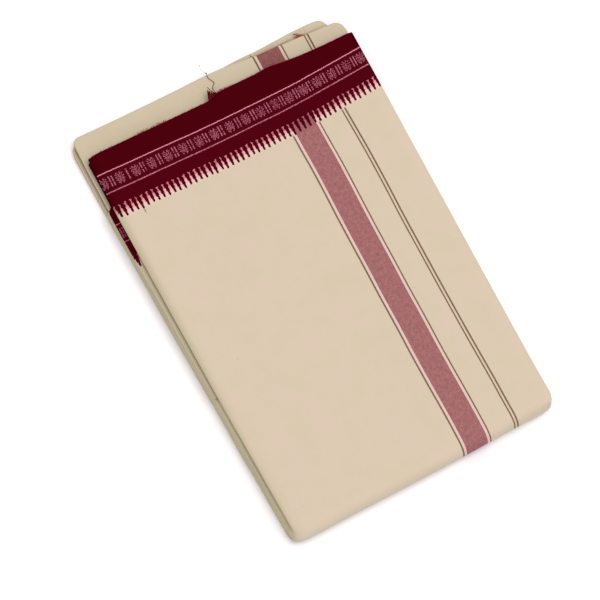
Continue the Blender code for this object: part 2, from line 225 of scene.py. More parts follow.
def add_light():
    """An even white surround, and a wide soft light from above, a little from the near right."""
    world = bpy.data.worlds.new("studio")
    world.use_nodes = True
    background = world.node_tree.nodes["Background"].inputs
    background["Color"].default_value = SURROUND_COLOUR
    background["Strength"].default_value = SURROUND
    bpy.context.scene.world = world
    data = bpy.data.lights.new("softbox", "SUN")
    data.energy = SOFTBOX
    data.angle = SOFTBOX_WIDTH
    placed("softbox", data).rotation_euler = Vector(SOFTBOX_FROM).to_track_quat("Z", "Y").to_euler()
    bpy.context.scene.view_settings.view_transform = "Standard"


# ---- curves and noise


def smooth_curve(at, values, position):
    """A smooth curve through these values that never swings past them, read at an array of positions."""
    at, values = np.asarray(at, float), np.asarray(values, float)
    steps = np.diff(values) / np.diff(at)
    before = np.concatenate([steps[:1], steps])
    after = np.concatenate([steps, steps[-1:]])
    limit = 3 * np.minimum(abs(before), abs(after))
    slopes = np.where(before * after > 0, np.clip((before + after) / 2, -limit, limit), 0.0)
    position = np.clip(position, at[0], at[-1])
    i = np.clip(np.searchsorted(at, position, side="right") - 1, 0, len(at) - 2)
    span = at[i + 1] - at[i]
    t = (position - at[i]) / span
    return (
        (1 + 2 * t) * (1 - t) ** 2 * values[i]
        + t * (1 - t) ** 2 * span * slopes[i]
        + t * t * (3 - 2 * t) * values[i + 1]
        + t * t * (t - 1) * span * slopes[i + 1]
    )


def table_curve(rows, column, position):
    """The same through a column of a table whose first column is the position."""
    return smooth_curve([row[0] for row in rows], [row[column] for row in rows], position)


def xyz(x, y, z):
    """Points or cloth coordinates from their parts."""
    return np.stack(np.broadcast_arrays(x, y, z), axis=-1)


def ramp(value, low, high):
    """0 below low, 1 above high, and smooth between."""
    t = np.clip((value - low) / (high - low), 0.0, 1.0)
    return t * t * (3 - 2 * t)


def spread(count, ease):
    """count + 1 values from 0 to 1. ease, up to 1, draws them to both ends."""
    values = np.linspace(0, 1, count + 1)
    return (1 - ease) * values + ease * (1 - np.cos(math.pi * values)) / 2


def wander(seed, position, wave):
    """A smooth seeded line between about -1 and 1. wave is its longest wavelength."""
    source = np.random.default_rng(seed)
    total = np.zeros_like(position, dtype=float)
    for part, weight in ((1.0, 0.55), (2.3, 0.3), (5.1, 0.15)):
        total += weight * np.sin(2 * math.pi * (position * part / wave + source.random()))
    return total


# ---- the packet's form


def side_at(rows, y, level):
    """x of the packet's side at each y and level."""
    y, level = np.broadcast_arrays(y, level)
    across = [table_curve(rows, column + 1, y) for column in range(len(EDGE_LEVELS))]
    result = across[0].copy()
    for k in range(len(EDGE_LEVELS) - 1):
        share = np.clip((EDGE_LEVELS[k] - level) / (EDGE_LEVELS[k] - EDGE_LEVELS[k + 1]), 0, 1)
        result += (across[k + 1] - across[k]) * share
    return result


PANEL_LEFT = float(side_at(LEFT_EDGE, SELVEDGE_Y, 1.0))
PANEL_WIDTH = float(side_at(RIGHT_EDGE, SELVEDGE_Y, 1.0)) - PANEL_LEFT


def from_sides(u):
    """Distances from the panel's left and right sides, at this share of its width."""
    return u * PANEL_WIDTH, (1 - u) * PANEL_WIDTH


def nearness(distance, reach):
    """1 at no distance, and 0 from reach on."""
    return np.clip(1 - distance / reach, 0, 1)


def flat_share(u):
    """0 beside the top leaf's sides and 1 away from them, for its soft relief."""
    left, right = from_sides(u)
    return ramp(left, *EDGE_FLAT) * ramp(right, *EDGE_FLAT)


def corner_inset(distance, radius):
    """How far a round corner lies inside a square one, at a distance from the side."""
    return radius - np.sqrt(radius**2 - np.clip(radius - distance, 0, radius) ** 2)


def corner_insets(u, width, corners):
    """The same for both ends of an edge of this width."""
    return corner_inset(u * width, corners[0]) + corner_inset((1 - u) * width, corners[1])


def near_fold_centre(u):
    """y of the line round which the near fold turns."""
    outermost = table_curve(NEAR_FOLD, 1, PANEL_LEFT + PANEL_WIDTH * u)
    return outermost + corner_insets(u, PANEL_WIDTH, NEAR_CORNERS) + MIDDLE


def fold_profile(turn, u):
    """How far out and up the near fold's surface lies at this turn, in parts of its radius."""
    power, at_right = UPPER_ROUNDNESS if turn < math.pi / 2 else LOWER_ROUNDNESS
    power = power + (at_right - power) * ramp(u, *RIGHT_CORNER_U)
    return math.sin(turn) ** power, math.copysign(1, math.cos(turn)) * abs(math.cos(turn)) ** power


def top_drop(u, y):
    """How far the top leaf lies below the packet's height."""
    sides = sum(nearness(distance, EDGE_ROUND) ** EDGE_POWER for distance in from_sides(u))
    sag = END_SAG_SIDE + (END_SAG_MIDDLE - END_SAG_SIDE) * np.sin(math.pi * u)
    return EDGE_DROP * sides + sag * ramp(y, END_SAG_START, SELVEDGE_Y)


def wrapped(u, y, turn, level, radius, rim=0.0):
    """A row of points of a surface that turns round the near fold with the layers.

    turn is 0 on the top, pi underneath and between them round the fold, where y is the fold's centre.
    level is how far out of the packet's middle the surface lies, for its sides, and radius how far in mm.
    rim draws both sides in.
    """
    out, up = fold_profile(turn, u)
    out_y = y - radius * out
    left = side_at(LEFT_EDGE, out_y, level * up) + rim
    right = side_at(RIGHT_EDGE, out_y, level * up) - rim
    return xyz(left + (right - left) * u, out_y, MIDDLE + radius * up)


def leaf_radius(u, y, turn):
    """How far the top leaf's outer face lies from the middle."""
    return MIDDLE - top_drop(u, y) * (1 + fold_profile(turn, u)[1]) / 2


# Soft relief of the top face: x, y, direction of the trough in degrees, half its length, half its
# width, height.
SOFT_FOLDS = (
    (34, 262, 8, 40, 9, -0.20), (62, 214, -14, 46, 12, 0.22), (28, 150, 74, 50, 10, -0.20),
    (96, 118, 22, 52, 14, 0.25), (58, 66, -20, 44, 12, -0.22), (150, 74, 66, 60, 13, 0.22),
    (118, 190, 80, 58, 12, -0.22), (176, 210, 86, 70, 9, 0.20), (188, 128, -82, 48, 9, -0.18),
    (24, 38, 40, 30, 9, 0.18), (120, 26, 4, 60, 7, -0.18), (92, 268, -6, 56, 10, 0.18),
    (166, 268, 12, 36, 9, -0.16),
)


def soft_relief(x, y):
    """Height of the top face's shallow troughs and ridges at packet points."""
    total = np.zeros_like(x)
    for centre_x, centre_y, degrees, length, width, height in SOFT_FOLDS:
        angle = math.radians(degrees)
        along = (x - centre_x) * math.cos(angle) + (y - centre_y) * math.sin(angle)
        across = (y - centre_y) * math.cos(angle) - (x - centre_x) * math.sin(angle)
        across = across + 3.0 * np.sin(along / 19.0 + centre_x)  # no trough is quite straight
        total += height * np.exp(-((along / length) ** 2) - (across / width) ** 2)
    total += 0.05 * np.sin(x / 11.0 + np.sin(y / 17.0) * 2.0) * np.sin(y / 14.0)
    return total


def line_1_at(x):
    """y of the upper pink line, and how t stretches there, at packet x."""
    return table_curve(LINE_1, 1, x), table_curve(LINE_1, 2, x)


def spike_number(x):
    """The spikes' running number at packet x, whole where the gap before a spike begins."""
    number = (x + 0.5) / SPIKE_PITCH
    return number + 0.0004 * number**2  # they stand a little closer towards the right


def stripe_x(x, y):
    """Across the cloth in mm, at a packet point of the top leaf."""
    mauve = table_curve(STRIPE_DRIFT, 1, y)
    pair = table_curve(STRIPE_DRIFT, 2, y)
    return x - mauve - (pair - mauve) * ramp(x, *DRIFT_CHANGE)


# ---- meshes


def mesh_object(name, points, faces, material, attribute, values):
    """A smooth object with an attribute of its points, for its material."""
    kind, field = ("FLOAT", "value") if values.ndim == 1 else ("FLOAT_VECTOR", "vector")
    mesh = bpy.data.meshes.new(name)
    mesh.from_pydata((points * MM + SHIFT).tolist(), [], faces)
    kept = mesh.attributes.new(attribute, kind, "POINT")
    kept.data.foreach_set(field, values.astype(np.float32).ravel())
    mesh.shade_smooth()
    mesh.materials.append(material)
    return placed(name, mesh)


def yarn_object(name, parts, material):
    """One object of many small parts: each its points, faces and tone."""
    points, faces, tones = [], [], []
    for part_points, part_faces, tone in parts:
        first = len(points)
        points += part_points.tolist()
        faces += [[first + corner for corner in face] for face in part_faces]
        tones += [tone] * len(part_points)
    return mesh_object(name, np.array(points), faces, material, "tone", np.clip(tones, 0, 1))


def around(sides):
    """Cosine and sine of angles all round a ring."""
    return [(math.cos(2 * math.pi * i / sides), math.sin(2 * math.pi * i / sides)) for i in range(sides)]


def band(sides, first=0):
    """Quads between two rings of points, the one numbered from first on and the other after it."""
    pairs = [(first + i, first + (i + 1) % sides) for i in range(sides)]
    return [(a, b, b + sides, a + sides) for a, b in pairs]


def cloth_object(name, nets, material):
    """One object of several nets, each with its cloth coordinates, joined and turned outwards."""
    points, cloth, faces = [], [], []
    count = 0
    for net, own_cloth in nets:
        rows, columns = net.shape[:2]
        index = count + np.arange(rows * columns).reshape(rows, columns)
        quads = np.stack([index[:-1, :-1], index[:-1, 1:], index[1:, 1:], index[1:, :-1]], axis=-1)
        points.append(net.reshape(-1, 3))
        cloth.append(np.broadcast_to(own_cloth, net.shape).reshape(-1, 3))
        faces.append(quads.reshape(-1, 4))
        count += rows * columns
    points, cloth, faces = (np.concatenate(each) for each in (points, cloth, faces))
    made = mesh_object(name, points, faces.tolist(), material, "cloth", cloth)
    work = bmesh.new()
    work.from_mesh(made.data)
    bmesh.ops.remove_doubles(work, verts=work.verts, dist=2e-6)
    empty = [face for face in work.faces if face.calc_area() < 1e-13]
    bmesh.ops.delete(work, geom=empty, context="FACES")
    bmesh.ops.recalc_face_normals(work, faces=work.faces)
    work.to_mesh(made.data)
    work.free()
    return made


def unit(vectors):
    return vectors / np.maximum(np.linalg.norm(vectors, axis=-1, keepdims=True), 1e-12)


def net_normals(net):
    """Unit normals of a net, upwards at the middle of its first row."""
    normals = unit(np.cross(np.gradient(net, axis=0), np.gradient(net, axis=1)))
    return normals if normals[0, net.shape[1] // 2, 2] > 0 else -normals


def length_along(net):
    """How far each point of a net lies from its first row, along the net."""
    steps = np.linalg.norm(np.diff(net, axis=0), axis=-1)
    return np.concatenate([np.zeros((1, net.shape[1])), np.cumsum(steps, axis=0)])


PLY_STEPS = 4  # rows across one ply's rounded edge
PLY_WANDER = 0.08  # how far a ply's edge wanders, and on what wave
PLY_WAVE = 110
RIM_LENGTH = 300.0  # taken for any rim
RIM_END = 1.2  # how far from its ends its plies come together


def rim_net(outer, inner, outward, plies, wall, seed):
    """The net that closes a wall between its outer and inner lines: rounded plies that wander apart."""
    fractions = np.linspace(0, 1, plies * PLY_STEPS + 1)
    profile = np.zeros((len(fractions), len(outer)))
    along = np.linspace(0, RIM_LENGTH, len(outer))
    for row in range(len(fractions) - 1):
        ply, step = divmod(row, PLY_STEPS)
        out = wall / plies / 2 + PLY_WANDER * wander(seed + ply, along, PLY_WAVE)
        profile[row] = out * math.sin(math.pi * step / PLY_STEPS)
    profile *= ramp(along, 0, RIM_END) * ramp(RIM_LENGTH - along, 0, RIM_END)
    share = fractions[:, None, None]
    return outer * (1 - share) + inner * share + outward * profile[:, :, None]


def make_wall(name, outer, inner, cloth, side_plies, end_plies, wall, seed, material):
    """A closed thin wall between two nets of one shape, its four rims rounded into plies."""
    surface = [(outer, cloth), (inner, cloth)]
    nets = (outer, inner, cloth)
    turned = [net.swapaxes(0, 1) for net in nets]
    for group, plies, first_seed in ((turned, side_plies, seed), (nets, end_plies, seed + 20)):
        for line, beside in ((0, 1), (-1, -2)):
            outer_line, inner_line, cloth_line = (net[line] for net in group)
            outward = unit(outer_line - group[0][beside])
            rim = rim_net(outer_line, inner_line, outward, plies, wall, first_seed + line)
            surface.append((rim, cloth_line))
    return cloth_object(name, surface, material)


# ---- the leaves

SIDE_PLIES = 2  # folds, each two threads' thickness, in a leaf's wall
END_PLIES = 4
FOLD_PLIES = 3
SIDE_RIM = LEAF_WALL / SIDE_PLIES / 2  # how far a rim's rounded plies stand out
END_RIM = LEAF_WALL / END_PLIES / 2


def front_net():
    """The top leaf's outer face, from its selvedge to the near fold, round it and on underneath."""
    step_out = (np.array(STEP_COLUMNS) - PANEL_LEFT) / PANEL_WIDTH
    u = np.unique(np.concatenate([spread(148, 0.45), step_out]))
    top = spread(120, 0.45)
    selvedge = table_curve(SELVEDGE, 1, PANEL_LEFT + PANEL_WIDTH * u) - END_RIM
    centre = near_fold_centre(u)
    under_end = SECOND_SELVEDGE_Y - GAP
    stations = [(selvedge + (centre - selvedge) * step, 0.0) for step in top]
    stations += [(centre, turn) for turn in np.linspace(0, math.pi, 25)[1:-1]]
    stations += [(centre + (under_end - centre) * step, math.pi) for step in spread(34, 0.4)]
    net = np.array([wrapped(u, y, turn, 1.0, leaf_radius(u, y, turn), SIDE_RIM) for y, turn in stations])
    height = soft_relief(net[..., 0], net[..., 1]) * flat_share(u)
    to_fold = 1 - top[:, None]
    height[: len(top)] *= to_fold**0.2 * ramp(to_fold, 0.0, 0.06)
    height[len(top) :] = 0.0
    return net + net_normals(net) * height[..., None]


def front_cloth(net):
    """Cloth coordinates of the top leaf's net."""
    line, stretch = line_1_at(net[..., 0])
    from_line = length_along(net) - (net[:1, :, 1] - line)
    t = LINE_1_T + np.minimum(from_line, BORDER_LENGTH) * stretch + np.maximum(from_line - BORDER_LENGTH, 0)
    return xyz(stripe_x(net[..., 0], net[..., 1]), t, spike_number(net[..., 0]))


def second_net():
    """The second leaf's strip, from its selvedge on, with a softly wandering left side."""
    y = SECOND_SELVEDGE_Y - END_RIM + (SECOND_END_Y - SECOND_SELVEDGE_Y) * spread(110, 0.6)
    left = table_curve(SECOND_SIDE, 1, y) + corner_inset(SECOND_SELVEDGE_Y - y, SECOND_CORNER) + SIDE_RIM
    left = (left + 0.12 * wander(71, y, 50))[:, None]
    x = left + (SECOND_INNER_X - left) * spread(14, 0.5)
    rounding = SECOND_EDGE_DROP * nearness(x - left, SECOND_EDGE_ROUND) ** 2
    return xyz(x, y[:, None], SECOND_TOP - rounding)


def second_cloth(net):
    x = net[..., 0]
    return xyz(x, SECOND_SELVEDGE_Y - net[..., 1], (x - SECOND_SPIKE_X) / SPIKE_PITCH + SECOND_SPIKE)


def make_leaf(name, net, cloth, seed, material):
    """The top leaf or the second one, from its outer face."""
    inner = net - net_normals(net) * LEAF_WALL
    return make_wall(name, net, inner, cloth, SIDE_PLIES, END_PLIES, LEAF_WALL, seed, material)


def fold_sides(which, y):
    """x of a far fold's left and right side."""
    return [table_curve(FOLD_SIDES, column, y) for column in (2 * which - 1, 2 * which)]


def far_fold_nets(which, top, radius, corners):
    """Outer and inner nets of a leaf that comes out at the far end, turns round and goes back below."""
    rim = FOLD_WALL / FOLD_PLIES / 2
    far_left, far_right = fold_sides(which, FAR_FOLDS[0][1])
    width = far_right - far_left
    u = spread(110, 0.6)
    outermost = table_curve(FAR_FOLDS, which, far_left + width * u) - corner_insets(u, width, corners)
    start = SECOND_SELVEDGE_Y + GAP
    centre = outermost - radius
    middle = top - radius
    nets = []
    for reach in (radius, radius - FOLD_WALL):
        rows = [(start + (centre - start) * step, middle + reach) for step in spread(26, 0.5)]
        for turn in np.linspace(0, math.pi, 15)[1:-1]:
            rows.append((centre + reach * math.sin(turn), middle + reach * math.cos(turn)))
        rows += [(centre + (start - centre) * step, middle - reach) for step in spread(18, 0.5)]
        net = []
        for y, z in rows:
            left, right = fold_sides(which, y)
            net.append(xyz(left + rim + (right - left - 2 * rim) * u, y, z))
        nets.append(np.array(net))
    return nets


def inner_crevice_shade(net):
    """Painted shade on the underside of the inner leaf's fold, where it overhangs the lower leaf."""
    return ramp(INNER_TOP - INNER_FOLD_RADIUS - net[..., 2], 0.0, 1.6)


def lower_crevice_shade(net):
    """Painted shade on the lower leaf's top beside and under the inner leaf's fold."""
    past = net[..., 1] - table_curve(FAR_FOLDS, INNER, net[..., 0])
    on_top = net[..., 2] > 2 * LOWER_FOLD_RADIUS - 1.5
    depth = table_curve(CREVICE_SHADE_DEPTH, 1, net[..., 0])
    return ramp(2.3 - past, 0.0, 1.4) * on_top * depth


def make_fold(name, nets, drift, painted_shade, seed, material):
    """A leaf that folds back at the far end, far from its own selvedge.

    Its third cloth coordinate is how much painted crevice shade it takes, from 0 to 1.
    """
    outer, inner = nets
    x = outer[..., 0] - table_curve(drift, 1, outer[..., 0])
    cloth = xyz(x, 300 + length_along(outer), painted_shade(outer))
    return make_wall(name, outer, inner, cloth, FOLD_PLIES, FOLD_PLIES, FOLD_WALL, seed, material)


# ---- the hidden plies' edges

RIDGES = 12  # folded plies in half of the packet's height, above or below the middle
RIDGE_STEPS = 5
RIDGE_DEPTH = 0.42
SLOT_Z = (14.55, 16.65)  # room for the second leaf
SLOT_Y = (118.5, 281.2)
SLOT_FLOOR_X = SECOND_INNER_X + 0.3
UPPER_PLIES_FROM = 0.5  # the part of the stack above this belongs to the top leaf
RIM_SET_IN = 0.9  # how far its plies lie inside its rim
RIM_SET_IN_MORE = 0.3  # and how much further beside the second leaf
PAST_SECOND_SET_IN = 5.0  # how far the lower plies lie inside past the second leaf's selvedge
END_SET_IN = 4.5  # and inside the top leaf's end
STACK_END_IN = 1.3  # how far the stack's upper end lies inside the top leaf's selvedge
FOLD_T = 320.0  # t of the plies at the near fold
NEAR_PART = 30  # the rows of the stack's long faces end here, and the near fold's follow
SIDE_COLUMNS = ((0, 0), (-1, 1))  # a net's outer columns, and the packet's side that each lies on


def stack_stations():
    """(y, turn) of the hidden stack's rows, from its upper end round to its lower one.

    y is None where a row turns round the near fold.
    """
    end = SELVEDGE_Y - STACK_END_IN
    stations = [(y, 0.0) for y in end + (NEAR_PART - end) * spread(84, 0.35)]
    stations += [(None, turn) for turn in np.linspace(0, math.pi, 25)]
    return stations + [(y, math.pi) for y in NEAR_PART + (SECOND_SELVEDGE_Y - NEAR_PART) * spread(50, 0.3)]


def stack_net(u, part, stations):
    """The hidden stack's net, with a row for each station and a column for each u and part."""
    centre = near_fold_centre(u)
    at_edge = sum(nearness(distance, EDGE_ROUND) for distance in from_sides(u))
    at_corner = sum(map(nearness, from_sides(u), NEAR_CORNERS))
    rows = []
    for y, turn in stations:
        at = centre if y is None else y + 0 * u
        out, up = fold_profile(turn, u)
        clearance = EDGE_CLEARANCE * at_edge * (1 + up) / 2 + CORNER_CLEARANCE * at_corner * out
        radius = part * (leaf_radius(u, at, turn) - LEAF_WALL - GAP - clearance)
        rows.append(wrapped(u, at, turn, part, radius))
    return np.array(rows)


def ply_at(part):
    """Number of the ply at this part of the stack, and how far out its fold is there, from 0 to 1."""
    return min(int(part * RIDGES), RIDGES - 1), abs(math.sin(math.pi * part * RIDGES)) ** 0.6


def below_middle(part):
    """1 for the plies below the top leaf's own, else 0."""
    return ramp(UPPER_PLIES_FROM - part, 0.0, 0.04)


def add_ridges(net, column, part, side):
    """Moves one column of a net out by as much as its ply's fold stands out of the side."""
    y = net[:, column, 1]
    z = net[:, column, 2]
    ply, shape = ply_at(part)
    step = 0.25 * wander(200 + 31 * side + ply, y, 160) + 0.16 * math.sin(2.4 * ply + side)
    out = (step + RIDGE_DEPTH) * shape - RIDGE_DEPTH
    near_second = ramp(y, 222, 236) * ramp(-y, -290, -282)
    under_rim = ramp(part, UPPER_PLIES_FROM + 0.05, UPPER_PLIES_FROM + 0.12) * ramp(z, MIDDLE, MIDDLE + 4)
    out = out - (RIM_SET_IN + RIM_SET_IN_MORE * near_second) * under_rim
    past_second = ramp(y, SECOND_SELVEDGE_Y, SECOND_SELVEDGE_Y + 1.2) * (z > INNER_TOP)
    out = out - PAST_SECOND_SET_IN * past_second * below_middle(part)
    net[:, column, 0] += out if side else -out


def stack_cloth(net, part, side=0):
    """Cloth coordinates of the stack's edges: each leaf's plies count t from their own selvedge."""
    y = net[..., 1]
    upper = net[..., 2] > MIDDLE - 0.1
    own = np.where(part >= UPPER_PLIES_FROM, SELVEDGE_Y, SECOND_SELVEDGE_Y)
    t = np.where(upper, own - y, FOLD_T + y)
    number = np.floor(part * RIDGES - 1e-6)
    j = 0.37 * number + 0.21 * side + 40
    x = 209.0 * side + net[..., 2]
    return xyz(x, t + 0.9 * np.sin(number * 2.1 + side), j)


def end_net(across, parts, station, set_back):
    """One end of the hidden stack: the plies' rounded edges, none in line with the next."""
    net = np.array([stack_net(across, part + 0 * across, [station])[0] for part in parts])
    middle = ramp(across, 0, 0.02) * ramp(1 - across, 0, 0.02)
    for row, part in enumerate(parts):
        for column, side in SIDE_COLUMNS:
            add_ridges(net[row : row + 1], column, part, side)
        ply, shape = ply_at(part)
        step = 0.9 + 0.5 * wander(400 + ply, across * 210, 120)
        net[row, :, 1] += middle * (step * shape - set_back * below_middle(part))
    return net


def hidden_nets():
    """The hidden plies' folded edges on both sides, the faces that the leaves cover, and the ends."""
    nets = []
    stations = stack_stations()
    parts = np.linspace(0, 1, RIDGES * RIDGE_STEPS + 1)
    for side in (0, 1):
        net = stack_net(np.full(parts.shape, float(side)), parts, stations)
        for column, part in enumerate(parts):
            add_ridges(net, column, part, side)
        if side == 0:
            x, y, z = net[..., 0], net[..., 1], net[..., 2]
            in_slot = (z > SLOT_Z[0]) & (z < SLOT_Z[1]) & (y > SLOT_Y[0]) & (y < SLOT_Y[1])
            net[..., 0] = np.where(in_slot, np.maximum(x, SLOT_FLOOR_X), x)
        nets.append((net, stack_cloth(net, parts, side)))
    across = spread(40, 0.9)
    for part in (1.0, 0.0):
        net = stack_net(across, part + 0 * across, stations)
        for column, side in SIDE_COLUMNS:
            add_ridges(net, column, part, side)
        nets.append((net, stack_cloth(net, part)))
    for station, set_back in ((stations[0], END_SET_IN), (stations[-1], 0.0)):
        net = end_net(across, parts, station, set_back)
        nets.append((net, stack_cloth(net, parts[:, None])))
    return nets


# ---- the border's raised yarn

# One rosette of the border, as a chart: tiers of slanting floats about a stem.
ROSETTE = (
    "...x...x...",
    "..xx...xx..",
    "x..xx.xx..x",
    ".x..x.x..x.",
    "..x..x..x..",
    "x..x.x.x..x",
    "xx..xxx..xx",
    "..x..x..x..",
    ".x.x.x.x.x.",
    "x.x.xxx.x.x",
    ".x.x.x.x.x.",
    "..x.x.x.x..",
    ".x..x.x..x.",
    "..xx...xx..",
    "...x...x...",
)
CELL = (0.56, 0.58)  # one cell of the chart, in mm across the cloth and along it
ROSETTE_X = (
    1.5, 14.0, 26.3, 38.7, 51.3, 63.5, 75.7, 87.8, 100.1, 112.6, 124.3, 136.0, 147.0, 158.3, 169.6, 181.4,
    193.5, 205.0,
)
BAR_PAIRS = (
    7.6, 32.1, 45.0, 57.3, 69.5, 81.4, 93.3, 106.4, 118.8, 130.2, 141.5, 152.8, 163.6, 175.1, 187.5, 199.5,
)
SINGLE_BAR = 20.2
BAR_APART = 1.06  # half the distance between two bars of a pair, in mm
BAR_T = (16.5, 24.5)
BAR_BREAK_T = 21.1
BAR_STEP = 0.58
LINE_STEP = 0.82
BORDER_X = (-0.2, 208.4)  # the raised yarn keeps within these
FADED_X = (124, 150)  # the rosettes between these are dimmer and more worn
WORN, WORN_FADED = 0.05, 0.14  # share of a rosette's beads that are gone
# Tones, from 0 for the darkest yarn to 1.
ROSETTE_TONE = 0.31
BAR_TONE = 0.35
SINGLE_BAR_TONE = 0.42
SECOND_BAR_TONE = 0.1
# The lines: t, from x to x, each bead's length and their tone.
LINES = ((LINE_1_T, 0.6, 208.2, 0.84, 0.97), (LINE_2_T, -0.4, 208.0, 1.0, 0.42))
SECOND_LINES = ((13.2, -4.2, -0.1, 0.8, 0.45), (27.1, -4.3, -0.1, 0.8, 0.32))
SECOND_BARS = (-3.3, -1.5)
# A bead's width across the cloth and length along it, in mm. A line's beads each have its own length.
LINE_BEAD = 0.98
BAR_BEAD = (1.12, 0.6)
ROSETTE_BEAD = (0.66, 0.66)
BEAD_HEIGHT = 0.16
BEAD_SIDES = 8
BEAD_RINGS = ((1.0, -0.25), (0.8, 0.7))  # each ring's part of the bead's half width and of its height
BEAD_FACES = band(BEAD_SIDES) + [
    (BEAD_SIDES + i, BEAD_SIDES + (i + 1) % BEAD_SIDES, 2 * BEAD_SIDES) for i in range(BEAD_SIDES)
]


def front_point(x, t):
    """Packet point on the top leaf at cloth x and t, both in mm, for a flat border."""
    x = np.asarray(x, float)
    line, stretch = line_1_at(x)
    y = line - (np.asarray(t, float) - LINE_1_T) / stretch
    left = side_at(LEFT_EDGE, y, 1.0)
    right = side_at(RIGHT_EDGE, y, 1.0)
    u = np.clip((x - left) / (right - left), 0, 1)
    z = MIDDLE + leaf_radius(u, y, 0.0) + soft_relief(x, y) * flat_share(u)
    return xyz(x, y, z)


def second_point(x, t):
    """Packet point on the second leaf's strip."""
    x = np.asarray(x, float)
    y = SECOND_SELVEDGE_Y - np.asarray(t, float)
    return xyz(x, y, SECOND_TOP - 0.02)


class Beads:
    """Short raised floats of the border's pink yarn, as low domes."""

    def __init__(self, point_at, source):
        self.point_at = point_at
        self.source = source
        self.rows = []

    def stray(self, reach, count=None):
        """Seeded random distances, about as large as reach."""
        return reach * self.source.standard_normal(count)

    def line(self, t, first, last, long, tone):
        """One of the border's two lines, a run of beads across the cloth."""
        for x in np.arange(first, last, LINE_STEP):
            aside, down = self.stray(0.07, 2)
            self.rows.append((x + aside, t + down, LINE_BEAD, long, tone + self.stray(0.12)))

    def bar(self, x, tone):
        """One bar, broken below its middle and thin in places."""
        for t in np.arange(*BAR_T, BAR_STEP):
            broken = abs(t - BAR_BREAK_T) < 0.3 and self.source.random() < 0.75
            if broken or self.source.random() < 0.07:
                continue
            self.rows.append((x + self.stray(0.06), t, *BAR_BEAD, tone + self.stray(0.08)))

    def rosette(self, x, tone, worn):
        """One rosette of the chart. worn is the share of its beads that are gone."""
        for row, text in enumerate(ROSETTE):
            for column, mark in enumerate(text):
                if mark != "x" or self.source.random() < worn:
                    continue
                across = (column - (len(text) - 1) / 2) * CELL[0]
                down = (row - (len(ROSETTE) - 1) / 2) * CELL[1]
                wobble = self.stray(0.07, 2)
                place = (x + across + wobble[0], FIGURE_T + down + wobble[1])
                self.rows.append((*place, *ROSETTE_BEAD, tone + self.stray(0.09)))

    def parts(self):
        """Each bead's points, faces and tone."""
        rows = np.array(self.rows)
        centre = self.point_at(rows[:, 0], rows[:, 1])
        along_x = unit(self.point_at(rows[:, 0] + 0.4, rows[:, 1]) - centre)
        along_t = unit(self.point_at(rows[:, 0], rows[:, 1] + 0.4) - centre)
        up = unit(np.cross(along_t, along_x))
        up = up * np.sign(up[:, 2:3])
        points = []
        for reach, rise in BEAD_RINGS:
            for cosine, sine in around(BEAD_SIDES):
                part = along_x * (rows[:, 2:3] / 2 * reach * cosine)
                part = part + along_t * (rows[:, 3:4] / 2 * reach * sine)
                points.append(centre + part + up * (BEAD_HEIGHT * rise))
        points.append(centre + up * BEAD_HEIGHT)
        return [(dome, BEAD_FACES, tone) for dome, tone in zip(np.stack(points, axis=1), rows[:, 4])]


def make_figures(material):
    """The rosettes, bars and lines of the border, on the top leaf and on the second one's strip."""
    source = np.random.default_rng(11)
    front = Beads(front_point, source)
    for line in LINES:
        front.line(*line)
    for x in ROSETTE_X:
        faded = FADED_X[0] < x < FADED_X[1]
        tone = ROSETTE_TONE + front.stray(0.05) - 0.05 * faded
        front.rosette(x, tone, WORN_FADED if faded else WORN)
    for x in BAR_PAIRS:
        tone = BAR_TONE + front.stray(0.04)
        for side in (-1, 1):
            front.bar(x + side * BAR_APART, tone)
    front.bar(SINGLE_BAR, SINGLE_BAR_TONE)
    front.rows = [row for row in front.rows if BORDER_X[0] < row[0] < BORDER_X[1]]
    second = Beads(second_point, source)
    for line in SECOND_LINES:
        second.line(*line)
    for x in SECOND_BARS:
        second.bar(x, SECOND_BAR_TONE)
    return yarn_object("border_figures", front.parts() + second.parts(), material)


# ---- loose threads

